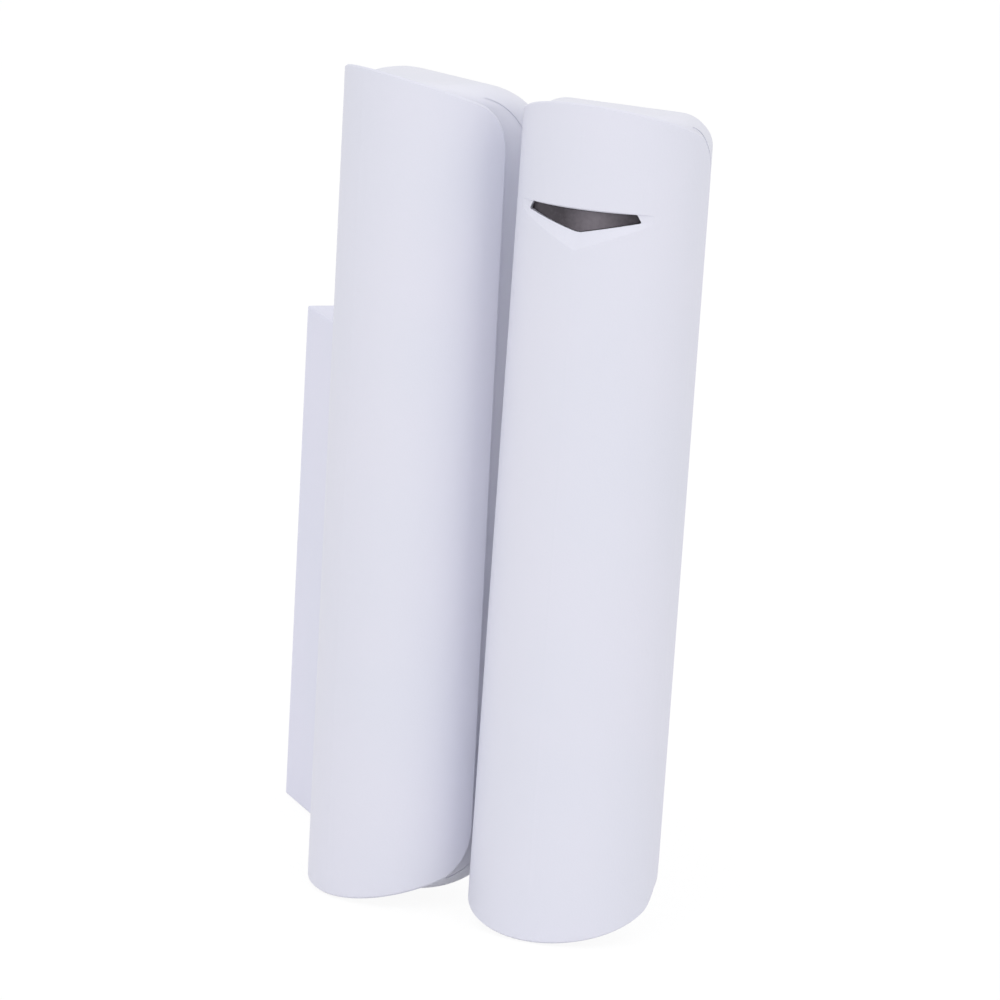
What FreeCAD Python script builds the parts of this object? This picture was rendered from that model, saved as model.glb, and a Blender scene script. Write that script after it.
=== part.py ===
import FreeCAD, Part
import math
import os

# A door and window sensor kit in three pieces that stand side by side: the detector, a large
# magnet in the same moulded housing, and a small magnet. Each is modelled as if its back lay on
# a wall at y = 0, with its front towards -Y and its length along Z, and is then set in its place.
# All sizes are in millimetres.

V = FreeCAD.Vector
UP = V(0, 0, 1)
over = 1.0                   # how far a cut runs past the face it opens
near = 0.01                  # what still counts as the same place

# Shell: a half-round moulding with straight skirts and raked, open ends
shell_length = 90.0
shell_width = 20.0
front_bulge = 9.4            # from the widest line to the foremost line
skirt_depth = 2.5            # straight sides behind the widest line
shell_wall = 1.2
end_rake = 19.6              # degrees that each end leans in towards the back
end_corner = 5.8             # rounding between the raked end and the back edge, seen from the side
rim_chamfer = 0.25

# Base and bracket: what stands between the shell's back edge and the wall
bracket_plate = 1.6
bracket_gap = 0.3
base_reach = 5.6             # how far the base shows behind the shell
base_side_gap = 0.3          # between the base and the inside of the shell
base_wall = 1.1
base_floor = 0.9
end_inset = 1.3              # from the shell's tip to the base's end
end_wall = 1.5
back_corner = 4.8            # plan rounding of the back corners
end_dome = 12.4              # side-view radius of the ends behind the widest line
end_round = 2.2              # rounding all round the ends, as far as the shell's rim
rim_step = 0.3               # from the shell's rim in to the plug that fills its ends
plug_inset = 0.1             # how much narrower than the base that plug is
side_wall_lap = 1.5          # how far the base's side walls reach up inside the shell
ear_gap = 0.2                # from the board's ends to where those walls rise to close the ends
ear_rise = 3.6               # how much higher they are there

# Seam line: a shallow groove on the base's shoulders, round the shell's corners
seam_width = 0.12
seam_depth = 0.1
seam_start = 0.4             # behind the widest line, where it comes out on the shoulder
seam_drop = 1.25             # at the widest line, below the base's end
seam_rake = 14.0             # degrees
seam_corner = 8.5
seam_reach = 7.0             # how far behind the widest line it turns down

# Snap ridges inside the shell and their grooves in the base
catch_length = 6.0
catch_height = 0.5
catch_width = 0.6
catch_inset = 0.5            # from the shell's back edge
catch_root = 0.3             # how far it is sunk into the wall that carries it
catch_pitch = 26.0
catch_count = 3
groove_gap = 0.2

# Indicator window and the recess around it
window_drop = 13.5           # from the shell's tip down to the window's lowest line
window_height = 2.18
window_point = 0.28          # half width of the blunt lower point
window_corner_x = 6.25
window_corner_rise = 1.42
window_top_x = 5.8
window_edge_round = 0.16
window_gap = 0.1
window_thickness = 1.2
window_flange = 0.8
recess_depth = 0.6
recess_point_drop = 2.05     # the recess's lower point, below the window's
recess_slope = 0.43          # rise of its lower edges per millimetre across
recess_half_width = 7.4
recess_stations = 6          # sections on each side of the middle
recess_skin = 0.005          # the least depth of its cutter
recess_lead = 0.8            # slant of its upper edge

# Circuit board and what it carries
board_side_gap = 0.9         # in from the base's sides
board_thickness = 1.0
board_gap = 1.9              # between the board and the rib that stops the cell
board_end_gap = 2.0          # between the board and the end wall
board_corner = 1.5
board_lift = 0.2             # above the tops of the base's side walls
post_radius = 1.4
pin_radius = 0.7
pin_gap = 0.1
pin_stand = 0.5
pin_root = 1.0               # how far it is sunk into its post
post_inset_x = 2.0
post_inset_z = 3.6
led_size = 1.6
led_height = 0.8
led_foot = 0.32
led_dome_radius = 0.76
led_tip_radius = 0.56
guide_radius = 1.3
guide_tip_radius = 1.05
guide_gap = 0.15
reed_radius = 1.1
reed_length = 12.0
reed_inset = 2.0             # from the board's edge to the tube's middle
reed_end_round = 0.66
reed_rise = 14.75            # above the board's lower end
lead_radius = 0.3
lead_reach = 3.0
lead_stand = 0.25            # between the glass and the board
shield_width = 8.6
shield_length = 11.0
shield_height = 1.8
shield_corner = 0.8
shield_sheet = 0.35
vent_radius = 0.5
chip_size = 5.0
chip_height = 0.9
chip_rise = 14.0             # above the board's lower end
chip_corner = 0.2
chip_stand = 0.1             # between its body and the board
chip_feet = 6                # on each side
chip_foot = 0.35
chip_foot_reach = 0.8
terminal_width = 8.4
terminal_length = 6.4
terminal_height = 5.4
terminal_rise = 0.6          # above the board's lower end
terminal_corner = 0.4
terminal_pitch = 4.0
terminal_hole = 1.1
terminal_hole_height = 1.9   # above the board
terminal_screw_radius = 1.3
terminal_screw_gap = 0.15
terminal_screw_length = 1.7
terminal_screw_sink = 0.5
terminal_screw_slot = 0.45
terminal_screw_slot_depth = 0.5
antenna_height = 2.0
antenna_width = 1.6
antenna_sheet = 0.35
antenna_length = 12.4
antenna_drop = 1.3           # below the board's upper end
antenna_bend = 1.0

# Lithium cell and its contacts
cell_diameter = 14.5
cell_length = 24.2
cell_nub_radius = 2.6
cell_nub = 1.0
cell_edge = 0.6
cell_floor_gap = 0.5
contact_sheet = 0.4
contact_width = 8.0
contact_play = 0.1
contact_lift = 1.0           # above the tray's floor
dome_tip_radius = 1.3
leaf_span = 5.1              # from the cell's middle to each end of the sprung leaf
leaf_tail = 1.5              # how far its free end stops short
leaf_bend = 1.4              # where the fold begins, in thicknesses of the sheet
cell_seat_inset = 3.8        # from the end's highest line to the seat of the sprung contact
spring_room = 2.2            # left for the sprung contact below the cell
dome_room = 1.3              # left for the domed contact above it
stop_rib = 1.2
stop_rib_width = 12.0
stop_rib_height = 9.0

# Buttons at the back of the detector
tamper_rise = 12.25          # above the board's lower end
tamper_radius = 1.3
tamper_travel = 0.5
button_pitch = 9.5
power_radius = 2.2
power_travel = 0.4
power_sink = 0.3             # below the base's back face
stem_radius = 1.0
collar_extra = 0.6
collar_thickness = 0.7
button_gap = 0.15
stop_gap = 0.3
switch_size = 4.5
switch_height = 2.4
switch_play = 0.1
switch_corner = 0.4

# Slide-on brackets
bracket_slide = 4.0
hook_inset = 3.3             # from the base's sides
hook_z = 24.0
hook_width = 2.4
hook_stem = 2.0
hook_foot = 3.7
hook_foot_thickness = 1.0
hook_gap = 0.3
screw_pitch = 62.0
screw_hole_radius = 1.75
countersink_radius = 3.0
countersink_depth = 0.8
tear_off_width = 9.0
tear_off_length = 15.0
tear_off_slot = 0.7
tear_off_bridge = 1.2
tear_off_corner = 1.5
tear_off_hole_radius = 1.6
tear_off_hole_drop = 3.5     # below the middle of the tab
tear_off_tamper_rise = 3.0   # from the middle of the tab to the tamper button

# Large magnet's inside
magnet_width = 10.0
magnet_depth = 8.0
magnet_length = 50.0
magnet_edge = 0.5
holder_wall = 1.0
holder_gap = 0.1
holder_height = 6.0          # in front of the bar's back face
holder_window = 12.0         # length of the openings in its sides
holder_window_lift = 1.5
cradle_rib = 2.0
cradle_pitch = 34.0
cradle_height = 3.0

# Small magnet: a slab with its own cover and pad
slab_width = 13.0
slab_depth = 7.2
slab_length = 56.0
slab_edge = 0.25
slab_wall = 1.2
cover_thickness = 1.0
cover_gap = 0.1
cover_corner = 0.3
small_magnet_width = 8.0
small_magnet_depth = 4.6
small_magnet_length = 46.0
small_magnet_edge = 0.4
small_magnet_gap = 0.2
small_magnet_rib = 1.0
pad_thickness = 0.8
pad_inset = 1.5
pad_corner = 1.5

# How the kit stands: the detector upright, the others turned and leaning a little beside it
kit_lean = -1.24
large_turn = -29.9
large_gap = 3.03             # sideways, between the two housings' widest lines
large_y = 3.55               # behind the detector's own
large_z = 0.2
small_turn = -49.5
small_aside = 16.0           # from the large housing's middle to the middle of the small one's back
small_y = 34.2               # behind the detector's widest line

# Depths that follow from those sizes, with the wall at zero and the front negative
base_back = -(bracket_plate + bracket_gap)
shell_back = base_back - base_reach
widest_y = shell_back - skirt_depth
front_y = widest_y - front_bulge
floor_y = base_back - base_floor
side_wall_top = shell_back - side_wall_lap
holder_back = floor_y - cradle_height
magnet_back = holder_back - holder_wall - holder_gap
half_length = shell_length / 2
half_width = shell_width / 2
base_half = half_width - shell_wall - base_side_gap
tray_half = base_half - base_wall
hook_x = base_half - hook_inset
large_x = large_gap + half_width + half_width * math.cos(math.radians(large_turn))
small_x = large_x + small_aside
base_half_length = half_length - end_inset
base_bulge = front_bulge - shell_wall - base_side_gap
rake = math.tan(math.radians(end_rake))
board_width = 2 * (base_half - board_side_gap)
reed_x = board_width / 2 - reed_inset
board_back = side_wall_top - board_lift
board_front = board_back - board_thickness
window_z = half_length - window_drop
window_top_z = window_z + window_height
window_mid_z = window_z + window_height / 2
window_back = shell_wall + window_gap / 2 + window_thickness

# Heights that follow from the cell and the board, which fill the detector from end to end
cell_seat = cell_seat_inset - base_half_length
cell_low = cell_seat + spring_room
cell_top = cell_low + cell_length + cell_nub
cell_y = floor_y - cell_floor_gap - cell_diameter / 2
rib_low = cell_top + dome_room
board_low_z = rib_low + stop_rib + board_gap
board_high_z = base_half_length - end_wall - board_end_gap
reed_z = board_low_z + reed_rise
chip_z = board_low_z + chip_rise
shield_z = (chip_z + window_mid_z) / 2
terminal_z = board_low_z + terminal_rise + terminal_length / 2
antenna_z = board_high_z - antenna_drop
tamper_z = board_low_z + tamper_rise
power_z = tamper_z + button_pitch
tear_off_z = tamper_z - tear_off_tamper_rise


def box(x0, x1, y0, y1, z0, z1):
    return Part.makeBox(x1 - x0, y1 - y0, z1 - z0, V(x0, y0, z0))


def rod(radius, start, end):
    direction = end - start
    return Part.makeCylinder(radius, direction.Length, start, direction)


def mirror_x(shape):
    return shape.mirror(V(0, 0, 0), V(1, 0, 0))


def rounded_wire(points, radii):
    """A closed wire through coplanar points, each corner rounded by its own radius."""
    count = len(points)
    ends = []
    edges = []
    for i in range(count):
        corner = points[i]
        back = points[i - 1] - corner
        ahead = points[(i + 1) % count] - corner
        back.normalize()
        ahead.normalize()
        if radii[i] <= 0:
            ends.append((corner, corner, None))
            continue
        half = back.getAngle(ahead) / 2
        reach = radii[i] / math.tan(half)
        middle = back + ahead
        middle.normalize()
        crown = corner + middle * (radii[i] / math.sin(half) - radii[i])
        ends.append((corner + back * reach, corner + ahead * reach, crown))
    for i in range(count):
        first, last, crown = ends[i]
        if crown is not None:
            edges.append(Part.Arc(first, crown, last).toShape())
        following = ends[(i + 1) % count][0]
        if (following - last).Length > 1e-6:
            edges.append(Part.LineSegment(last, following).toShape())
    return Part.Wire(edges)


def prism(points, radii, direction):
    return Part.Face(rounded_wire(points, radii)).extrude(direction)


def front_plate(width, length, mid_x, mid_z, y0, y1, corner):
    """A plate with rounded corners seen from the front, from y0 back to y1."""
    points = [V(mid_x - width / 2, y0, mid_z - length / 2), V(mid_x + width / 2, y0, mid_z - length / 2),
              V(mid_x + width / 2, y0, mid_z + length / 2), V(mid_x - width / 2, y0, mid_z + length / 2)]
    return prism(points, [corner] * 4, V(0, y1 - y0, 0))


def front_curve(half, bulge):
    """The front half of an ellipse about the widest line, from the right side to the left."""
    centre = V(0, widest_y, 0)
    side = V(half, widest_y, 0)
    nose = V(0, widest_y - bulge, 0)
    if half >= bulge:
        return Part.ArcOfEllipse(Part.Ellipse(side, nose, centre), 0, math.pi).toShape()
    return Part.ArcOfEllipse(Part.Ellipse(nose, side, centre), -math.pi / 2, math.pi / 2).toShape()


def plan_prism(half, bulge, back, corner, low, high):
    """The housing's plan section, drawn up from low to high."""
    edges = [front_curve(half, bulge)]
    slant = corner * math.sqrt(0.5)
    edges.append(Part.LineSegment(V(half, widest_y, 0), V(half, back - corner, 0)).toShape())
    edges.append(Part.LineSegment(V(-half, widest_y, 0), V(-half, back - corner, 0)).toShape())
    edges.append(Part.LineSegment(V(corner - half, back, 0), V(half - corner, back, 0)).toShape())
    if corner > 0:
        for side in (1, -1):
            start = V(side * half, back - corner, 0)
            crown = V(side * (half - corner + slant), back - corner + slant, 0)
            end = V(side * (half - corner), back, 0)
            edges.append(Part.Arc(start, crown, end).toShape())
    wire = Part.Wire(Part.__sortEdges__(edges))
    face = Part.Face(wire)
    face.translate(V(0, 0, low))
    return face.extrude(V(0, 0, high - low))


def shell_side_profile(grow):
    """The shell seen from the side: long in front, raked ends, round back corners."""
    depth = shell_back - front_y
    tip = half_length + grow
    heel = tip - rake * depth
    points = [V(-shell_width, front_y, -tip), V(-shell_width, shell_back, -heel),
              V(-shell_width, shell_back, heel), V(-shell_width, front_y, tip)]
    return prism(points, [0, end_corner, end_corner, 0], V(2 * shell_width, 0, 0))


def shell_layer(outer, inner):
    """What lies between two offsets inwards from the shell's outer face, over the whole length."""
    outside = plan_prism(half_width - outer, front_bulge - outer, shell_back, 0, -half_length, half_length)
    inside = plan_prism(half_width - inner, front_bulge - inner, shell_back, 0, -half_length, half_length)
    return outside.cut(inside)


def catches(inset, height, width, length):
    """Ridges on both sides, standing inwards from inset by height."""
    y_mid = shell_back - catch_inset - catch_width / 2
    pieces = []
    for i in range(catch_count):
        z = (i - (catch_count - 1) / 2) * catch_pitch
        x = half_width - inset
        ridge = box(x - height, x, y_mid - width / 2, y_mid + width / 2, z - length / 2, z + length / 2)
        pieces.append(ridge)
        pieces.append(mirror_x(ridge))
    return pieces


def shell_blank():
    whole = plan_prism(half_width, front_bulge, shell_back, 0, -half_length, half_length)
    whole = whole.common(shell_side_profile(0))
    outer_rim = [e for e in whole.Edges if is_rim(e)]
    whole = whole.makeChamfer(rim_chamfer, outer_rim)
    high = half_length + over
    room = plan_prism(half_width - shell_wall, front_bulge - shell_wall, 0, 0, -high, high)
    ridges = catches(shell_wall - catch_root, catch_height + catch_root, catch_width, catch_length)
    return whole.cut(room).fuse(ridges)


def is_rim(edge):
    """True for the outer edges of the ends and of the back, not for those along the housing."""
    middle = edge.valueAt((edge.FirstParameter + edge.LastParameter) / 2)
    across_back = abs(middle.x) < near and middle.y > front_y + near
    along_front = abs(middle.z) < near and middle.y < shell_back - near
    return not across_back and not along_front


def chevron(grow, y0, y1):
    """The window's outline seen from the front, larger all round by grow."""
    low = window_z - grow
    corner_z = window_z + window_corner_rise - grow * 0.5
    top = window_top_z + grow
    outline = [(window_point, low), (window_corner_x + grow, corner_z), (window_top_x + grow * 0.7, top)]
    points = [V(x, y0, z) for x, z in outline] + [V(-x, y0, z) for x, z in reversed(outline)]
    return prism(points, [window_edge_round] * len(points), V(0, y1 - y0, 0))


def surface_y(x, inset):
    """Where the shell's front face lies at x, moved inwards by inset."""
    half = half_width - inset
    bulge = front_bulge - inset
    return widest_y - bulge * math.sqrt(1 - (x / half) ** 2)


def recess_section(x):
    """The recess cut by a plane across the housing: a sloping floor up to the window's edge."""
    depth = max(recess_depth * (1 - (x / recess_half_width) ** 2), recess_skin)
    along = abs(x) / window_corner_x
    window_low = window_z + window_corner_rise * min(along, 1.0)
    low = min(window_z - recess_point_drop + recess_slope * abs(x), window_low - window_gap)
    outside = surface_y(x, 0) - over
    points = [V(x, surface_y(x, 0) - recess_skin, low), V(x, surface_y(x, depth), window_low),
              V(x, surface_y(x, depth), window_top_z), V(x, outside, window_top_z + recess_lead),
              V(x, outside, low)]
    return Part.makePolygon(points + points[:1])


def recess_cutter():
    right = []
    for i in range(recess_stations + 1):
        right.append(recess_half_width * i / recess_stations)
    places = [-x for x in reversed(right[1:])] + right
    return Part.makeLoft([recess_section(x) for x in places], True, True)


def end_profile(inset):
    """Base and bracket seen from the side: flat ends in front, then a dome that falls to the wall."""
    tip = base_half_length - inset
    radius = end_dome - inset
    fall = radius - math.sqrt(radius ** 2 - widest_y ** 2)
    half_angle = math.asin(-widest_y / radius) / 2
    crown_y = widest_y + radius * math.sin(half_angle)
    crown_fall = radius - radius * math.cos(half_angle)
    edges = []
    for side in (1, -1):
        front = V(-shell_width, front_y, side * tip)
        crest = V(-shell_width, widest_y, side * tip)
        crown = V(-shell_width, crown_y, side * (tip - crown_fall))
        heel = V(-shell_width, 0, side * (tip - fall))
        edges.append(Part.LineSegment(front, crest).toShape())
        edges.append(Part.Arc(crest, crown, heel).toShape())
    edges.append(Part.LineSegment(V(-shell_width, front_y, -tip), V(-shell_width, front_y, tip)).toShape())
    edges.append(Part.LineSegment(V(-shell_width, 0, fall - tip), V(-shell_width, 0, tip - fall)).toShape())
    wire = Part.Wire(Part.__sortEdges__(edges))
    return Part.Face(wire).extrude(V(2 * shell_width, 0, 0))


def square_block(inset):
    whole = plan_prism(base_half - inset, base_bulge - inset, 0, back_corner - inset,
                       -base_half_length, base_half_length)
    return whole.common(end_profile(inset))


def body_blank(inset=0):
    """Base and bracket together: a rounded block that fills the shell's ends and reaches the wall."""
    block = square_block(inset)
    rounded = block.makeFillet(end_round - inset, [e for e in block.Edges if is_end_edge(e)])
    plug = square_block(inset + plug_inset).common(shell_side_profile(-rim_step - inset))
    return rounded.fuse(plug)


def is_end_edge(edge):
    """True for the edges round the two ends of the block, not for the upright ones."""
    low = edge.valueAt(edge.FirstParameter)
    high = edge.valueAt(edge.LastParameter)
    middle = edge.valueAt((edge.FirstParameter + edge.LastParameter) / 2)
    across_end = abs(middle.x) < near and widest_y - near < middle.y < -near
    return min(abs(low.z), abs(high.z)) > base_half_length / 2 and low.z * high.z > 0 and not across_end


def seam_grooves():
    """The seam line seen from the side, cut only into the skin of the base's shoulders."""
    front = box(-half_width, half_width, front_y - over, widest_y + seam_start, -half_length, half_length)
    rise = math.tan(math.radians(seam_rake))
    solids = []
    for grow in (seam_width / 2, -seam_width / 2):
        back = widest_y + seam_reach + grow
        tip = base_half_length - seam_drop + rise * front_bulge + grow
        heel = base_half_length - seam_drop - rise * seam_reach + grow
        points = [V(-shell_width, front_y, -tip), V(-shell_width, back, -heel),
                  V(-shell_width, back, heel), V(-shell_width, front_y, tip)]
        corner = seam_corner + grow
        solids.append(prism(points, [0, corner, corner, 0], V(2 * shell_width, 0, 0)))
    skin = body_blank().cut(body_blank(seam_depth))
    return solids[0].cut(solids[1]).common(skin).cut(front)


def hook_places():
    return [(side * hook_x, z) for side in (1, -1) for z in (hook_z, -hook_z)]


def base_blank():
    """The tray: end walls that close the shell, low side walls, and slots for the hooks."""
    whole = body_blank().common(box(-half_width, half_width, front_y, base_back, -half_length, half_length))
    inner_end = base_half_length - end_wall
    open_end = board_high_z + ear_gap
    open_front = box(-half_width, half_width, front_y, side_wall_top, -open_end, open_end)
    ear_top = side_wall_top - ear_rise
    over_ears = box(-half_width, half_width, front_y, ear_top, -inner_end, inner_end)
    inner = plan_prism(tray_half, base_bulge, -base_wall, back_corner - base_wall, -inner_end, inner_end)
    inner = inner.common(box(-half_width, half_width, front_y, floor_y, -inner_end, inner_end))
    inner = inner.common(end_profile(end_wall))
    inner = inner.common(front_plate(2 * tray_half, 2 * inner_end, 0, 0, front_y, 0, end_round - base_wall))
    base = whole.cut(open_front).cut(over_ears).cut(inner)
    grooves = catches(shell_wall, catch_height + groove_gap, catch_width + 2 * groove_gap,
                      catch_length + 2 * groove_gap)
    slots = []
    for x, z in hook_places():
        width = hook_width + 2 * hook_gap
        low = z - hook_stem / 2 - bracket_slide - hook_gap
        high = z + hook_stem / 2 + hook_gap
        slots.append(box(x - width / 2, x + width / 2, floor_y - over, base_back + over, low, high))
    return base.cut(grooves + slots).cut(seam_grooves())


def bracket_blank():
    """The wall plate with its hooks and its two screw holes."""
    whole = body_blank().common(box(-half_width, half_width, -bracket_plate, 0, -half_length, half_length))
    foot_back = floor_y - hook_gap
    hooks = []
    for x, z in hook_places():
        low = z - hook_stem / 2
        high = z + hook_stem / 2
        hooks.append(box(x - hook_width / 2, x + hook_width / 2, foot_back - hook_foot_thickness,
                         -bracket_plate, low, high))
        hooks.append(box(x - hook_width / 2, x + hook_width / 2, foot_back - hook_foot_thickness,
                         foot_back, low, high + hook_foot))
    plate = whole.fuse(hooks)
    holes = []
    for z in (screw_pitch / 2, -screw_pitch / 2):
        holes.append(rod(screw_hole_radius, V(0, -bracket_plate - over, z), V(0, over, z)))
        holes.append(Part.makeCone(countersink_radius, screw_hole_radius, countersink_depth,
                                   V(0, -bracket_plate, z), V(0, 1, 0)))
    return plate.cut(holes)


def tear_off_cuts():
    """A tab that stays on the wall if the detector is torn off: a slot with four thin bridges."""
    y0 = -bracket_plate - over
    ring = front_plate(tear_off_width + 2 * tear_off_slot, tear_off_length + 2 * tear_off_slot,
                       0, tear_off_z, y0, over, tear_off_corner + tear_off_slot)
    ring = ring.cut(front_plate(tear_off_width, tear_off_length, 0, tear_off_z, y0, over, tear_off_corner))
    bridge = tear_off_bridge / 2
    reach = tear_off_length
    across = box(-reach, reach, y0, over, tear_off_z - bridge, tear_off_z + bridge)
    along = box(-bridge, bridge, y0, over, tear_off_z - reach, tear_off_z + reach)
    hole_z = tear_off_z - tear_off_hole_drop
    hole = rod(tear_off_hole_radius, V(0, y0, hole_z), V(0, over, hole_z))
    return [ring.cut([across, along]), hole]


def board_posts():
    x = board_width / 2 - post_inset_x
    low = board_low_z + post_inset_z
    high = board_high_z - post_inset_z
    return [(side * x, z) for side in (1, -1) for z in (low, high)]


def button_holes():
    return [(tamper_z, tamper_radius), (power_z, power_radius)]


def detector_base():
    base = base_blank()
    added = []
    for x, z in board_posts():
        added.append(rod(post_radius, V(x, floor_y + base_floor / 2, z), V(x, board_back, z)))
        added.append(rod(pin_radius, V(x, board_back + pin_root, z), V(x, board_front - pin_stand, z)))
    for low in (rib_low, cell_seat - stop_rib):
        added.append(box(-stop_rib_width / 2, stop_rib_width / 2, floor_y - stop_rib_height,
                         floor_y + base_floor / 2, low, low + stop_rib))
    base = base.fuse(added)
    return base.cut([rod(radius + button_gap, V(0, floor_y - over, z), V(0, 0, z))
                     for z, radius in button_holes()])


def detector_shell():
    opening = chevron(window_gap, front_y - over, widest_y)
    return shell_blank().cut([recess_cutter(), opening])


def indicator_window():
    """A smoked lens that follows the shell, held from behind by a flange."""
    seat = shell_wall + window_gap / 2
    lens = shell_layer(recess_depth, window_back).common(chevron(0, front_y - over, widest_y))
    flange = shell_layer(seat, window_back).common(chevron(window_flange, front_y - over, widest_y))
    return lens.fuse(flange)


def light_guide():
    """A clear stub from the lamp on the board to the back of the window."""
    start = V(0, board_front - led_height - guide_gap, window_mid_z)
    end = V(0, surface_y(0, window_back), window_mid_z)
    stub = Part.makeCone(guide_radius, guide_tip_radius, (end - start).Length, start, end - start)
    return stub.cut(shell_layer(0, window_back))


def circuit_board():
    length = board_high_z - board_low_z
    middle = board_low_z + length / 2
    board = front_plate(board_width, length, 0, middle, board_front, board_back, board_corner)
    holes = [rod(pin_radius + pin_gap, V(x, board_front - over, z), V(x, board_back + over, z))
             for x, z in board_posts()]
    return board.cut(holes)


def status_led():
    half = led_size / 2
    top = board_front - led_foot
    foot = box(-half, half, top, board_front, window_mid_z - half, window_mid_z + half)
    dome = Part.makeCone(led_dome_radius, led_tip_radius, led_height - led_foot,
                         V(0, top, window_mid_z), V(0, -1, 0))
    return foot.fuse(dome)


def reed_y():
    return board_front - lead_stand - reed_radius


def reed_switch(side):
    x = side * reed_x
    half = reed_length / 2
    tube = rod(reed_radius, V(x, reed_y(), reed_z - half), V(x, reed_y(), reed_z + half))
    ends = [e for e in tube.Edges if e.Curve.TypeId == "Part::GeomCircle"]
    return tube.makeFillet(reed_end_round, ends)


def reed_leads():
    """The two bent wires of each glass tube, down to the board."""
    wires = []
    for side in (1, -1):
        for end in (1, -1):
            x = side * reed_x
            near = reed_z + end * reed_length / 2
            far = near + end * lead_reach
            run = rod(lead_radius, V(x, reed_y(), near), V(x, reed_y(), far + end * lead_radius))
            drop = rod(lead_radius, V(x, reed_y(), far), V(x, board_front, far))
            wires.append(run.fuse(drop))
    return Part.makeCompound(wires)


def radio_shield():
    """A pressed lid, open towards the board."""
    can = front_plate(shield_width, shield_length, 0, shield_z, board_front - shield_height,
                      board_front, shield_corner)
    room = front_plate(shield_width - 2 * shield_sheet, shield_length - 2 * shield_sheet, 0, shield_z,
                       board_front - shield_height + shield_sheet, board_front + over,
                       shield_corner - shield_sheet)
    vents = []
    for row in (-1, 0, 1):
        for column in (-1, 0, 1):
            x = column * shield_width / 4
            z = shield_z + row * shield_length / 4
            top = board_front - shield_height - over
            vents.append(rod(vent_radius, V(x, top, z), V(x, board_front, z)))
    return can.cut([room] + vents)


def controller_chip():
    body = front_plate(chip_size, chip_size, 0, chip_z, board_front - chip_height,
                       board_front - chip_stand, chip_corner)
    reach = chip_size / 2 + chip_foot_reach
    feet = []
    for i in range(chip_feet):
        z = chip_z + (i - (chip_feet - 1) / 2) * chip_size / (chip_feet + 0.5)
        feet.append(box(-reach, reach, board_front - chip_height / 2, board_front,
                        z - chip_foot / 2, z + chip_foot / 2))
    return body.fuse(feet)


def terminal_screw_places():
    return [(side * terminal_pitch / 2, terminal_z + terminal_length / 5) for side in (1, -1)]


def terminal_block():
    top = board_front - terminal_height
    block = front_plate(terminal_width, terminal_length, 0, terminal_z, top, board_front, terminal_corner)
    mouth = board_front - terminal_hole_height
    low = terminal_z - terminal_length / 2
    bottom = top + terminal_screw_sink + terminal_screw_length
    cuts = []
    for x, z in terminal_screw_places():
        cuts.append(rod(terminal_screw_radius + terminal_screw_gap, V(x, top - over, z), V(x, bottom, z)))
        cuts.append(rod(terminal_hole, V(x, mouth, low - over), V(x, mouth, terminal_z)))
    return block.cut(cuts)


def terminal_screws():
    top = board_front - terminal_height + terminal_screw_sink
    half = terminal_screw_slot / 2
    screws = []
    for x, z in terminal_screw_places():
        head = rod(terminal_screw_radius, V(x, top, z), V(x, top + terminal_screw_length, z))
        slot = box(x - terminal_pitch / 2, x + terminal_pitch / 2, top - over,
                   top + terminal_screw_slot_depth, z - half, z + half)
        screws.append(head.cut(slot))
    return Part.makeCompound(screws)


def antenna():
    """A strip of spring sheet that stands off the board on one foot and runs across it."""
    left = -antenna_length / 2
    top = board_front - antenna_height
    z = antenna_z - antenna_width / 2
    points = [V(left, board_front, z), V(left, top, z), V(-left, top, z), V(-left, top + antenna_sheet, z),
              V(left + antenna_sheet, top + antenna_sheet, z), V(left + antenna_sheet, board_front, z)]
    return prism(points, [0, antenna_bend, 0, 0, antenna_bend - antenna_sheet, 0], V(0, 0, antenna_width))


def lithium_cell():
    can = rod(cell_diameter / 2, V(0, cell_y, cell_low), V(0, cell_y, cell_low + cell_length))
    can = can.makeFillet(cell_edge, [e for e in can.Edges if e.Curve.TypeId == "Part::GeomCircle"])
    nub = rod(cell_nub_radius, V(0, cell_y, cell_low + cell_length - cell_nub), V(0, cell_y, cell_top))
    return can.fuse(nub)


def positive_contact():
    """A plate on the rib with a pressed dome, folded over the rib towards the board."""
    half = contact_width / 2
    tip = floor_y - stop_rib_height - contact_sheet
    low = rib_low - contact_sheet
    foot = floor_y - contact_lift
    points = [V(-half, foot, rib_low), V(-half, foot, low), V(-half, tip, low),
              V(-half, tip, rib_low + stop_rib), V(-half, tip + contact_sheet, rib_low + stop_rib),
              V(-half, tip + contact_sheet, rib_low)]
    plate = prism(points, [0, 0, contact_sheet, 0, 0, 0], V(contact_width, 0, 0))
    height = low - cell_top - contact_play
    dome = Part.makeCone(cell_nub_radius, dome_tip_radius, height, V(0, cell_y, low), V(0, 0, -1))
    return plate.fuse(dome)


def negative_contact():
    """A folded leaf that presses the cell against the other contact."""
    half = contact_width / 2
    foot = cell_seat
    crest = cell_low - contact_play
    low = cell_y + leaf_span
    high = cell_y - leaf_span
    bend = low - leaf_bend * contact_sheet
    tail = high + leaf_tail
    outline = [(low, foot), (high, foot), (high, foot + contact_sheet), (bend, foot + contact_sheet),
               (cell_y, crest - contact_sheet), (tail, crest - 3 * contact_sheet),
               (tail, crest - 2 * contact_sheet), (cell_y, crest), (low, foot + contact_sheet)]
    points = [V(-half, y, z) for y, z in outline]
    return prism(points, [0] * len(points), V(contact_width, 0, 0))


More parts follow.
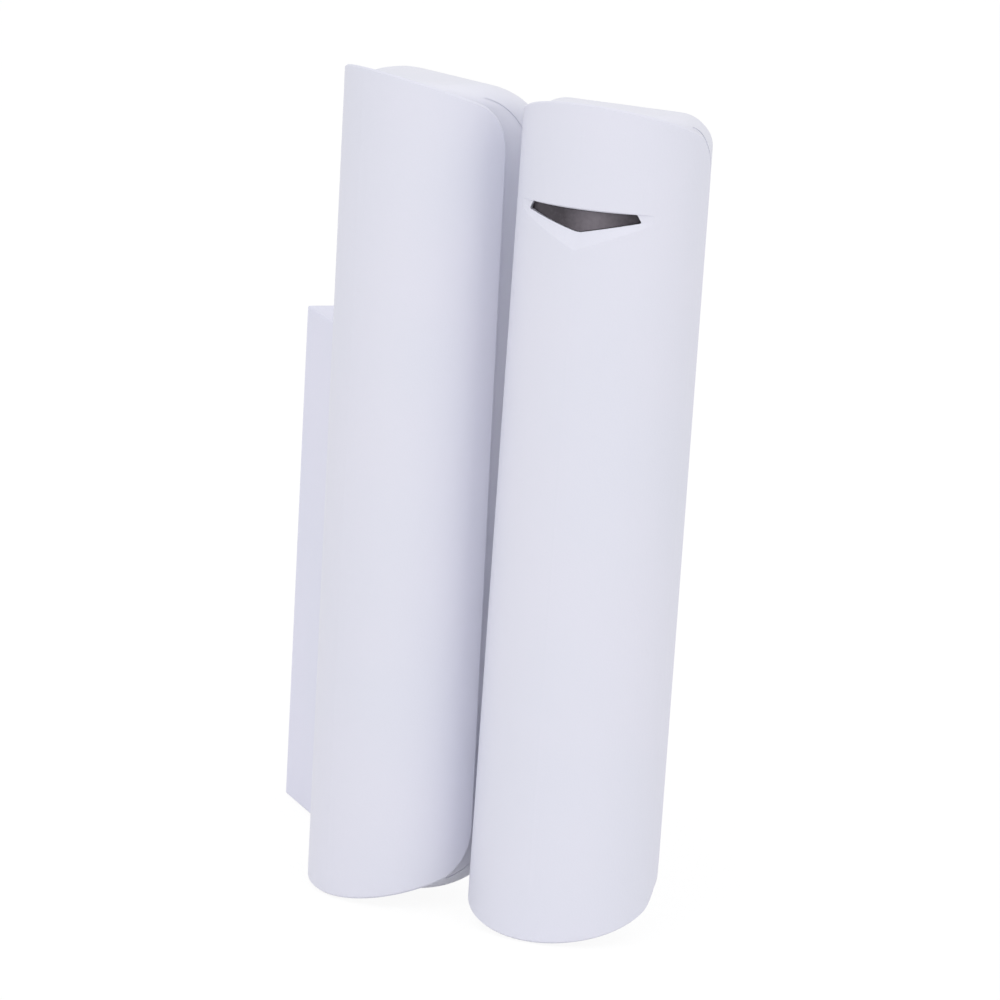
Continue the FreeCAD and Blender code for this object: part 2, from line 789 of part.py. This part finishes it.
def button(z, radius, tip, travel):
    """A push button with a collar inside the floor and a stem up to its switch."""
    head = rod(radius, V(0, floor_y - stop_gap - collar_thickness, z), V(0, tip, z))
    collar = rod(radius + collar_extra, V(0, floor_y - stop_gap - collar_thickness, z),
                 V(0, floor_y - stop_gap, z))
    stem = rod(stem_radius, V(0, board_back + switch_height + travel + switch_play, z),
               V(0, floor_y - stop_gap, z))
    return head.fuse([collar, stem])


def tamper_button():
    return button(tamper_z, tamper_radius, base_back, tamper_travel)


def power_button():
    return button(power_z, power_radius, base_back - power_sink, power_travel)


def switch_body(z):
    back = board_back + switch_height
    return front_plate(switch_size, switch_size, 0, z, board_back, back, switch_corner)


def detector_bracket():
    return bracket_blank().cut(tear_off_cuts())


def cradle_ribs():
    return [box(-magnet_width / 2, magnet_width / 2, holder_back, floor_y + base_floor / 2,
                z - cradle_rib / 2, z + cradle_rib / 2) for z in (cradle_pitch / 2, -cradle_pitch / 2)]


def magnet_base():
    return base_blank().fuse(cradle_ribs())


def rounded_block(width, depth, length, back, low, edge):
    block = box(-width / 2, width / 2, back - depth, back, low, low + length)
    return block.makeChamfer(edge, block.Edges)


def bar_magnet():
    low = -magnet_length / 2
    return rounded_block(magnet_width, magnet_depth, magnet_length, magnet_back, low, magnet_edge)


def magnet_holder():
    """A tray around the bar, with two openings in each side."""
    outer = magnet_width / 2 + holder_gap + holder_wall
    end = magnet_length / 2 + holder_gap + holder_wall
    front = magnet_back - holder_height
    tray = front_plate(2 * outer, 2 * end, 0, 0, front, holder_back, holder_wall)
    room = box(-magnet_width / 2 - holder_gap, magnet_width / 2 + holder_gap, front - over,
               magnet_back + holder_gap, -magnet_length / 2 - holder_gap, magnet_length / 2 + holder_gap)
    half = holder_window / 2
    windows = [box(-outer - over, outer + over, front - over, magnet_back - holder_window_lift,
                   z - half, z + half) for z in (-magnet_length / 4, magnet_length / 4)]
    return tray.cut([room] + windows)


def slab_case():
    """A plain slab, open at the back, with soft edges on its front."""
    front = -(pad_thickness + slab_depth)
    block = box(-slab_width / 2, slab_width / 2, front, -pad_thickness, 0, slab_length)
    soft = [e for e in block.Edges if any(v.Point.y < front + near for v in e.Vertexes)]
    block = block.makeFillet(slab_edge, soft)
    room = box(-slab_width / 2 + slab_wall, slab_width / 2 - slab_wall, front + slab_wall,
               over, slab_wall, slab_length - slab_wall)
    case = block.cut(room)
    ribs = []
    top_of_magnet = (slab_length + small_magnet_length) / 2 + small_magnet_gap
    for z in (slab_length - top_of_magnet - small_magnet_rib, top_of_magnet):
        ribs.append(box(-slab_width / 2 + slab_wall / 2, slab_width / 2 - slab_wall / 2,
                        front + slab_wall / 2, -pad_thickness - cover_thickness - cover_gap,
                        z, z + small_magnet_rib))
    return case.fuse(ribs)


def small_bar_magnet():
    back = -pad_thickness - slab_depth + slab_wall + small_magnet_depth
    low = (slab_length - small_magnet_length) / 2
    return rounded_block(small_magnet_width, small_magnet_depth, small_magnet_length, back, low,
                         small_magnet_edge)


def small_magnet_cover():
    width = slab_width - 2 * slab_wall - 2 * cover_gap
    length = slab_length - 2 * slab_wall - 2 * cover_gap
    return front_plate(width, length, 0, slab_length / 2, -pad_thickness - cover_thickness,
                       -pad_thickness, cover_corner)


def small_magnet_pad():
    width = slab_width - 2 * pad_inset
    length = slab_length - 2 * pad_inset
    return front_plate(width, length, 0, slab_length / 2, -pad_thickness, 0, pad_corner)


def stand(shape, turn, place):
    """Turns a piece about the upright, leans it, and sets its origin in place."""
    turned = FreeCAD.Rotation(UP, turn)
    leaned = FreeCAD.Rotation(V(0, 1, 0), kit_lean)
    placed = shape.copy()
    placed.Placement = FreeCAD.Placement(place, leaned.multiply(turned))
    return placed


def large_place():
    """The large magnet's own origin, on its wall face, from the middle of its widest line."""
    turn = math.radians(large_turn)
    back = -widest_y
    return V(-large_x - math.sin(turn) * back, large_y + widest_y + math.cos(turn) * back, large_z)


def small_place():
    """Its origin is the middle of its back's lowest line. Its lowest corner is level with the shells."""
    lowest = stand(slab_case(), small_turn, V(0, 0, 0)).BoundBox.ZMin
    return V(-small_x, widest_y + small_y, -half_length - lowest)


def save(name, shape):
    shape.exportStep("parts/%s.step" % name)


detector_pieces = {
    "detector_shell": detector_shell(),
    "detector_base": detector_base(),
    "detector_bracket": detector_bracket(),
    "indicator_window": indicator_window(),
    "light_guide": light_guide(),
    "circuit_board": circuit_board(),
    "status_led": status_led(),
    "reed_switch_left": reed_switch(-1),
    "reed_switch_right": reed_switch(1),
    "reed_leads": reed_leads(),
    "radio_shield": radio_shield(),
    "controller_chip": controller_chip(),
    "antenna": antenna(),
    "terminal_block": terminal_block(),
    "terminal_screws": terminal_screws(),
    "lithium_cell": lithium_cell(),
    "positive_contact": positive_contact(),
    "negative_contact": negative_contact(),
    "tamper_button": tamper_button(),
    "tamper_switch": switch_body(tamper_z),
    "power_button": power_button(),
    "power_switch": switch_body(power_z),
}
large_magnet_pieces = {
    "magnet_shell": shell_blank(),
    "magnet_base": magnet_base(),
    "magnet_bracket": bracket_blank(),
    "magnet_holder": magnet_holder(),
    "bar_magnet": bar_magnet(),
}
small_magnet_pieces = {
    "small_magnet_case": slab_case(),
    "small_magnet_cover": small_magnet_cover(),
    "small_bar_magnet": small_bar_magnet(),
    "small_magnet_pad": small_magnet_pad(),
}

os.makedirs("parts", exist_ok=True)
for name, shape in detector_pieces.items():
    save(name, shape)
for name, shape in large_magnet_pieces.items():
    save(name, stand(shape, large_turn, large_place()))
for name, shape in small_magnet_pieces.items():
    save(name, stand(shape, small_turn, small_place()))
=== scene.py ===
import math

import bpy
from mathutils import Matrix, Vector


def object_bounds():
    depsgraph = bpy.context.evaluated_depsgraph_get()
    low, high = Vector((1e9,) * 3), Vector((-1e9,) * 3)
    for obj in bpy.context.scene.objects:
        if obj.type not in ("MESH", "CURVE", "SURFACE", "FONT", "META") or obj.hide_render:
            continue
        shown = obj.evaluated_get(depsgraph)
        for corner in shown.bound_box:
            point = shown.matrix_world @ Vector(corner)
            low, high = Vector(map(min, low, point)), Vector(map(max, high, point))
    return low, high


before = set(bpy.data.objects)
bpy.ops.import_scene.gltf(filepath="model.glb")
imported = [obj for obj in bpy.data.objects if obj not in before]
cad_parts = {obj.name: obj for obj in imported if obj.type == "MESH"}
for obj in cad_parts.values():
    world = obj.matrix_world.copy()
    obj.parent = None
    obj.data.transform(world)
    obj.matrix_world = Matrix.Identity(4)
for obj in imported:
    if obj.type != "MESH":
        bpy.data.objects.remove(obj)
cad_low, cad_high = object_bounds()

# Camera. It is rolled a few degrees, so the detector leans to the right.
view_distance = 0.8466
view_azimuth = math.radians(22.5)
view_elevation = math.radians(11.64)
view_roll = math.radians(4.06)
view_aside = -0.00943        # the picture's middle lies left of the detector's middle line
view_above = 0.00138
view_lens = 288.0
widest_line = -0.0100        # the housing's widest line, in front of the wall

towards_camera = Vector((math.sin(view_azimuth) * math.cos(view_elevation),
                         -math.cos(view_azimuth) * math.cos(view_elevation),
                         math.sin(view_elevation)))
level_right = Vector((math.cos(view_azimuth), math.sin(view_azimuth), 0.0))
level_up = towards_camera.cross(level_right)
picture_right = level_right * math.cos(view_roll) + level_up * math.sin(view_roll)
picture_up = towards_camera.cross(picture_right)
camera_data = bpy.data.cameras.new("camera")
camera_data.lens = view_lens
camera_data.sensor_width = 36.0
camera_data.clip_start = 0.05
camera_data.clip_end = 20.0
camera = bpy.data.objects.new("camera", camera_data)
bpy.context.scene.collection.objects.link(camera)
camera.matrix_world = Matrix((picture_right, picture_up, towards_camera)).transposed().to_4x4()
camera.location = (Vector((0.0, widest_line, 0.0)) + towards_camera * view_distance
                   + picture_right * view_aside + picture_up * view_above)
bpy.context.scene.camera = camera


# Studio. A pale world gives most of the light. A large soft lamp stands in front and above, and
# weaker ones to the right and overhead.
scene = bpy.context.scene
scene.view_settings.view_transform = "Standard"


class Wire:
    """One output of a node. Sums and products of wires and numbers add their Math nodes."""

    def __init__(self, finish, socket):
        self.finish = finish
        self.socket = socket

    def maths(self, operation, first, second=0.0):
        inputs = {0: first, 1: second}
        return self.finish.node("ShaderNodeMath", {"operation": operation}, inputs)

    def __add__(self, other):
        return self.maths("ADD", self, other)

    def __radd__(self, other):
        return self.maths("ADD", other, self)

    def __sub__(self, other):
        return self.maths("SUBTRACT", self, other)

    def __rsub__(self, other):
        return self.maths("SUBTRACT", other, self)

    def __mul__(self, other):
        return self.maths("MULTIPLY", self, other)

    def __rmul__(self, other):
        return self.maths("MULTIPLY", other, self)

    def __gt__(self, other):
        return self.maths("GREATER_THAN", self, other)

    def __lt__(self, other):
        return self.maths("LESS_THAN", self, other)

    def __abs__(self):
        return self.maths("ABSOLUTE", self)

    def fraction(self):
        return self.maths("FRACT", self)

    def root(self):
        return self.maths("SQRT", self)

    def ramp(self, low, high):
        """0 up to low, 1 from high on, and smooth between them."""
        settings = {"interpolation_type": "SMOOTHSTEP"}
        inputs = {"Value": self, "From Min": low, "From Max": high}
        return self.finish.node("ShaderNodeMapRange", settings, inputs)


class Finish:
    """A material's nodes. What node() gets is set or linked, and what it returns is a wire."""

    def __init__(self, name, tree=None):
        if tree is None:
            self.material = bpy.data.materials.new(name)
            self.material.use_nodes = True
            tree = self.material.node_tree
        self.tree = tree

    def node(self, kind, settings={}, inputs={}, output=0):
        made = self.tree.nodes.new(kind)
        for name, value in settings.items():
            setattr(made, name, value)
        for name, value in inputs.items():
            self.feed(made.inputs[name], value)
        return Wire(self, made.outputs[output])

    def feed(self, socket, value):
        if isinstance(value, Wire):
            self.tree.links.new(value.socket, socket)
        else:
            socket.default_value = value

    def surface(self, **values):
        """Sets the Principled shader's sockets, with spaces written as underscores."""
        shader = self.tree.nodes["Principled BSDF"]
        for name, value in values.items():
            self.feed(shader.inputs[name.replace("_", " ")], value)

    def place(self):
        """The position on the piece, in metres."""
        return self.node("ShaderNodeTexCoord", output="Object")

    def parts(self, vector):
        split = self.tree.nodes.new("ShaderNodeSeparateXYZ")
        self.feed(split.inputs[0], vector)
        return [Wire(self, split.outputs[i]) for i in range(3)]

    def noise(self, size, detail=2.0, roughness=0.5):
        """Cloudy values about 0.5, with lumps about size metres across."""
        inputs = {"Vector": self.place(), "Scale": 1.0 / size, "Detail": detail, "Roughness": roughness}
        return self.node("ShaderNodeTexNoise", {}, inputs)

    def specks(self, spacing, share, radius):
        """1 on a few round specks: of the cells, spacing metres across, a share carries one."""
        cells = self.node("ShaderNodeTexVoronoi", {}, {"Vector": self.place(), "Scale": 1.0 / spacing},
                          output="Distance")
        chance = self.tree.nodes.new("ShaderNodeSeparateColor")
        self.tree.links.new(cells.socket.node.outputs["Color"], chance.inputs[0])
        return (cells < radius / spacing) * (Wire(self, chance.outputs[0]) < share)

    def mix(self, factor, first, second):
        inputs = {0: factor, 6: first, 7: second}
        return self.node("ShaderNodeMix", {"data_type": "RGBA"}, inputs, output=2)

    def bump(self, height, depth):
        return self.node("ShaderNodeBump", {}, {"Height": height, "Distance": depth, "Strength": 1.0})


def colour(red, green, blue):
    """A colour given as it shows on a screen, 0 to 255, turned into the light that it reflects."""
    def linear(value):
        part = value / 255.0
        return part / 12.92 if part <= 0.04045 else ((part + 0.055) / 1.055) ** 2.4
    return (linear(red), linear(green), linear(blue), 1.0)


lamp_distance = 1.6


def soft_lamp(name, azimuth, elevation, size, power):
    data = bpy.data.lights.new(name, "AREA")
    data.size = size
    data.energy = power
    lamp = bpy.data.objects.new(name, data)
    scene.collection.objects.link(lamp)
    a, e = math.radians(azimuth), math.radians(elevation)
    back = Vector((math.sin(a) * math.cos(e), -math.cos(a) * math.cos(e), math.sin(e)))
    lamp.location = back * lamp_distance
    lamp.rotation_euler = (-back).to_track_quat("-Z", "Y").to_euler()


soft_lamp("key_lamp", -4, 36, 1.6, 3.6)
soft_lamp("side_lamp", 75, 30, 1.2, 2.3)
soft_lamp("top_lamp", 8, 60, 1.2, 2.9)

world = bpy.data.worlds.new("studio")
scene.world = world
world.use_nodes = True
sky = Finish("studio", world.node_tree)
fill = 0.77


def seen_directly(finish):
    """1 for what the camera sees, by itself, through glass or mirrored in a gloss, and otherwise 0."""
    rays = finish.tree.nodes.new("ShaderNodeLightPath")
    seen = Wire(finish, rays.outputs["Is Camera Ray"]) + Wire(finish, rays.outputs["Is Transmission Ray"])
    return (seen + Wire(finish, rays.outputs["Is Glossy Ray"])).ramp(0.0, 1.0)


bare = seen_directly(sky)
sky_light = world.node_tree.nodes["Background"]
sky.feed(sky_light.inputs["Color"], (1.0, 1.0, 1.0, 1.0))
sky.feed(sky_light.inputs["Strength"], fill + bare * (1.0 - fill))

floor_glow = 1.03
floor_share = 0.9            # of the glow in what shows of the floor; the rest takes the shadow
floor_grey = 0.9
floor_size = 8.0
floor_gap = 0.0001
bpy.ops.mesh.primitive_plane_add(size=floor_size, location=(0.0, 0.0, cad_low.z - floor_gap))
floor = bpy.context.object
floor.name = "studio_floor"
floor_finish = Finish("floor_white")
floor_finish.surface(Base_Color=(floor_grey, floor_grey, floor_grey, 1.0), Roughness=0.9,
                     Specular_IOR_Level=0.0)
glow = floor_finish.tree.nodes.new("ShaderNodeEmission")
glow.inputs["Strength"].default_value = floor_glow
blend = floor_finish.tree.nodes.new("ShaderNodeMixShader")
floor_finish.feed(blend.inputs[0], seen_directly(floor_finish) * floor_share)
floor_finish.tree.links.new(floor_finish.tree.nodes["Principled BSDF"].outputs[0], blend.inputs[1])
floor_finish.tree.links.new(glow.outputs[0], blend.inputs[2])
floor_finish.tree.links.new(blend.outputs[0], floor_finish.tree.nodes["Material Output"].inputs[0])
floor.data.materials.append(floor_finish.material)


# Housing plastic. The shells are moulded in a pale lavender white plastic, with a fine spark-eroded
# texture, a trace of cloudiness and a rare speck of dust. The small case is a shade bluer.
def housing_plastic(name, pale, deep, roughness):
    finish = Finish(name)
    cloud = finish.noise(0.018, 2.0)
    grain = finish.noise(0.00022, 2.0)
    body = finish.mix(cloud.ramp(0.3, 0.7), pale, deep)
    dust = finish.specks(0.007, 0.12, 0.00009)
    finish.surface(Base_Color=finish.mix(dust * 0.5, body, colour(176, 172, 186)),
                   Roughness=roughness + grain * 0.12,
                   Specular_IOR_Level=0.35,
                   Normal=finish.bump(grain, 0.000008))
    return finish.material


def dress(node, material):
    """Gives a CAD node's mesh one material."""
    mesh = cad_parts[node].data
    mesh.materials.clear()
    mesh.materials.append(material)


shell_plastic = housing_plastic("shell_plastic", colour(228, 228, 240), colour(226, 227, 239), 0.42)
for node in ("detector_shell", "magnet_shell"):
    dress(node, shell_plastic)
dress("small_magnet_case", housing_plastic("small_case_plastic", colour(228, 228, 244),
                                           colour(226, 227, 243), 0.42))


# Base plastic.
base_plastic = housing_plastic("base_plastic", colour(233, 233, 242), colour(230, 231, 241), 0.52)
for node in ("detector_base", "magnet_base", "detector_bracket", "magnet_bracket", "small_magnet_cover"):
    dress(node, base_plastic)


# Indicator window. A smoked lens, satin in front. A paler glow is painted on it, painted light where the
# lamp's guide would show through, and the mould left it slightly mottled.
painted_glow_middle = 0.0016         # the painted glow's middle, right of the detector's middle line
painted_glow_reach = 0.0042   # from its middle to where it has faded out


def smoked_plastic():
    finish = Finish("smoked_plastic")
    across, depth, height = finish.parts(finish.place())
    # painted light: a paler glow where the guide would show through the lens
    painted_glow = 1.0 - abs(across - painted_glow_middle).ramp(0.0, painted_glow_reach)
    mottle = finish.noise(0.0004, 3.0)
    shade = painted_glow * 0.85 + (mottle - 0.5) * 0.5
    finish.surface(Base_Color=finish.mix(shade, colour(62, 57, 64), colour(118, 112, 120)),
                   Roughness=0.4, Specular_IOR_Level=0.3)
    return finish.material


dress("indicator_window", smoked_plastic())


# Light guide. A stub of clear acrylic that brings the lamp's light from the board to the window.
def clear_acrylic():
    finish = Finish("clear_acrylic")
    haze = finish.noise(0.0008, 2.0)
    finish.surface(Base_Color=colour(240, 242, 245), Roughness=0.08 + haze * 0.1, IOR=1.49,
                   Transmission_Weight=0.9)
    return finish.material


dress("light_guide", clear_acrylic())


# Status lamp. A surface-mounted diode: a white ceramic foot with a clear, faintly yellow dome.
diode_foot = 0.42            # the foot's share of its height


def span(node):
    """The lowest and highest corner of a CAD node, in metres."""
    corners = [vertex.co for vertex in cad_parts[node].data.vertices]
    low = Vector([min(corner[i] for corner in corners) for i in range(3)])
    high = Vector([max(corner[i] for corner in corners) for i in range(3)])
    return low, high


def diode():
    low, high = span("status_led")
    finish = Finish("diode")
    across, depth, height = finish.parts(finish.place())
    foot = depth > high.y - (high.y - low.y) * diode_foot
    finish.surface(Base_Color=finish.mix(foot, colour(238, 226, 150), colour(236, 236, 232)),
                   Roughness=0.3 + foot * 0.25)
    return finish.material


dress("status_led", diode())


# Circuit board. Glass epoxy under a green mask. Copper runs show through the mask as paler lines, and
# a bare gold ring lies round each of its four holes.
trace_pitch = 0.0013
trace_width = 0.00028
traces_left = 40.0           # whole pitches added, so that counting starts beside the board
traces_below = 80.0          # and below it
upright_above = 0.5          # where the cloudy choice is above this, the runs stand upright
level_below = 0.44           # and below this they lie level
hole_inset_x = 0.0020        # from the board's sides to the middles of its holes
hole_inset_z = 0.0036
hole_land = 0.0014


def board_mask():
    low, high = span("circuit_board")
    finish = Finish("board_mask")
    across, depth, height = finish.parts(finish.place())
    weave = finish.noise(0.0005, 2.0)
    choice = finish.noise(0.0045, 0.0)
    half_trace = trace_width / trace_pitch / 2
    upright = abs((across * (1.0 / trace_pitch) + traces_left).fraction() - 0.5) < half_trace
    level = abs((height * (1.0 / trace_pitch) + traces_below).fraction() - 0.5) < half_trace
    trace = upright * (choice > upright_above) + level * (choice < level_below)
    out_x = abs(across) - ((high.x - low.x) / 2 - hole_inset_x)
    out_z = abs(height - (high.z + low.z) / 2) - ((high.z - low.z) / 2 - hole_inset_z)
    land = (out_x * out_x + out_z * out_z).root() < hole_land
    mask = finish.mix(trace * 0.8, colour(22, 84, 52), colour(48, 122, 76))
    tinted = finish.mix(weave.ramp(0.3, 0.7) * 0.25, mask, colour(16, 70, 44))
    finish.surface(Base_Color=finish.mix(land, tinted, colour(214, 178, 96)),
                   Metallic=land * 0.9, Roughness=0.36 + weave * 0.1,
                   Normal=finish.bump(trace, 0.00002))
    return finish.material


dress("circuit_board", board_mask())


# Reed switches. Two sealed glass tubes, slightly green, with plated iron wires at both ends that are
# bent down and soldered to the board.
def sealed_glass():
    finish = Finish("sealed_glass")
    draw = finish.noise(0.002, 1.0)
    finish.surface(Base_Color=colour(214, 232, 220), Roughness=0.04 + draw * 0.06, IOR=1.5,
                   Transmission_Weight=0.85)
    return finish.material


def plated_metal(name, bright, dull, size, roughness):
    """A plated sheet or wire: its tone wanders a little over lumps about size metres across."""
    finish = Finish(name)
    cloud = finish.noise(size, 3.0)
    grain = finish.noise(size / 12, 2.0)
    finish.surface(Base_Color=finish.mix(cloud.ramp(0.35, 0.7), bright, dull), Metallic=1.0,
                   Roughness=roughness + grain * 0.14)
    return finish.material


glass = sealed_glass()
dress("reed_switch_left", glass)
dress("reed_switch_right", glass)
dress("reed_leads", plated_metal("lead_plating", colour(206, 204, 198), colour(176, 172, 164),
                                 0.002, 0.24))


# Radio shield and antenna. Pressed from tinned and nickel-plated steel sheet and soldered to the board.
dress("radio_shield", plated_metal("tinned_steel", colour(208, 210, 212), colour(178, 180, 184),
                                   0.004, 0.3))
dress("antenna", plated_metal("spring_nickel", colour(214, 208, 192), colour(188, 180, 162),
                              0.003, 0.22))


# Controller chip. A black epoxy block on tinned feet. Its top is plain.
chip_foot_reach = 0.0008


def chip_epoxy():
    low, high = span("controller_chip")
    finish = Finish("chip_epoxy")
    across, depth, height = finish.parts(finish.place())
    feet = abs(across) > (high.x - low.x) / 2 - chip_foot_reach
    grain = finish.noise(0.0002, 2.0)
    finish.surface(Base_Color=finish.mix(feet, colour(34, 34, 37), colour(200, 201, 204)),
                   Metallic=feet * 0.95, Roughness=0.58 - feet * 0.26 + grain * 0.08)
    return finish.material


dress("controller_chip", chip_epoxy())


# Terminal block. Grey moulded nylon for the two wires of an outside contact, with zinc-plated screws
# sunk in its top.
def moulded_nylon(name, pale, deep, roughness):
    finish = Finish(name)
    cloud = finish.noise(0.004, 2.0)
    grain = finish.noise(0.0002, 2.0)
    finish.surface(Base_Color=finish.mix(cloud.ramp(0.3, 0.7), pale, deep),
                   Roughness=roughness + grain * 0.12,
                   Normal=finish.bump(grain, 0.000008))
    return finish.material


dress("terminal_block", moulded_nylon("terminal_nylon", colour(126, 132, 138),
                                      colour(116, 122, 130), 0.46))
dress("terminal_screws", plated_metal("zinc_plating", colour(206, 206, 200), colour(176, 174, 164),
                                      0.0012, 0.28))


# Lithium cell. A steel can in a plain violet sleeve that leaves both ends bare, with a paler band
# towards the nub. The two contacts are nickel-plated spring sheet.
sleeve_end = 0.0011          # bare steel at each end of the can
nub_height = 0.0010
band_low = 0.0075            # from the nub's top
band_high = 0.0055


def sleeved_can():
    low, high = span("lithium_cell")
    finish = Finish("sleeved_can")
    across, depth, height = finish.parts(finish.place())
    steel = (height < low.z + sleeve_end) + (height > high.z - nub_height - sleeve_end)
    band = (height > high.z - band_low) * (height < high.z - band_high)
    cloud = finish.noise(0.003, 2.0)
    sleeve = finish.mix(band, colour(92, 84, 128), colour(206, 204, 214))
    finish.surface(Base_Color=finish.mix(steel, sleeve, colour(196, 197, 200)),
                   Metallic=steel * 1.0, Roughness=0.34 + cloud * 0.12)
    return finish.material


dress("lithium_cell", sleeved_can())
contact_nickel = plated_metal("contact_nickel", colour(212, 206, 190), colour(184, 178, 164), 0.003, 0.26)
dress("positive_contact", contact_nickel)
dress("negative_contact", contact_nickel)


# Buttons and their switches. The guard against removal is a dark pin, the power button is pale, and
# both press small black switches on the back of the board.
dress("tamper_button", moulded_nylon("guard_pin_nylon", colour(58, 58, 62), colour(50, 50, 55), 0.4))
dress("power_button", moulded_nylon("power_button_nylon", colour(214, 215, 224),
                                    colour(206, 208, 219), 0.44))
switch_black = moulded_nylon("switch_black", colour(40, 40, 43), colour(33, 33, 36), 0.5)
dress("tamper_switch", switch_black)
dress("power_switch", switch_black)


# Magnets. The large bar is dark sintered ferrite in a natural nylon carrier. The small one is plated.
def ferrite():
    finish = Finish("ferrite")
    grain = finish.noise(0.0004, 4.0)
    pits = finish.specks(0.0016, 0.3, 0.00018)
    finish.surface(Base_Color=finish.mix(grain.ramp(0.35, 0.7), colour(74, 74, 78), colour(58, 58, 63)),
                   Roughness=0.62 + grain * 0.16, Metallic=0.2,
                   Normal=finish.bump(grain - pits * 0.6, 0.00005))
    return finish.material


dress("bar_magnet", ferrite())
dress("magnet_holder", moulded_nylon("carrier_nylon", colour(226, 222, 208),
                                     colour(216, 212, 198), 0.5))
dress("small_bar_magnet", plated_metal("magnet_nickel", colour(202, 202, 204), colour(172, 173, 178),
                                       0.006, 0.2))


# Mounting pad. Grey acrylic foam tape, with fine open cells at its edges.
def foam_tape():
    finish = Finish("foam_tape")
    cells = finish.noise(0.0003, 3.0)
    tone = finish.mix(cells.ramp(0.3, 0.7), colour(196, 196, 200), colour(172, 172, 178))
    finish.surface(Base_Color=tone,
                   Roughness=0.85, Normal=finish.bump(cells, 0.00006))
    return finish.material


dress("small_magnet_pad", foam_tape())
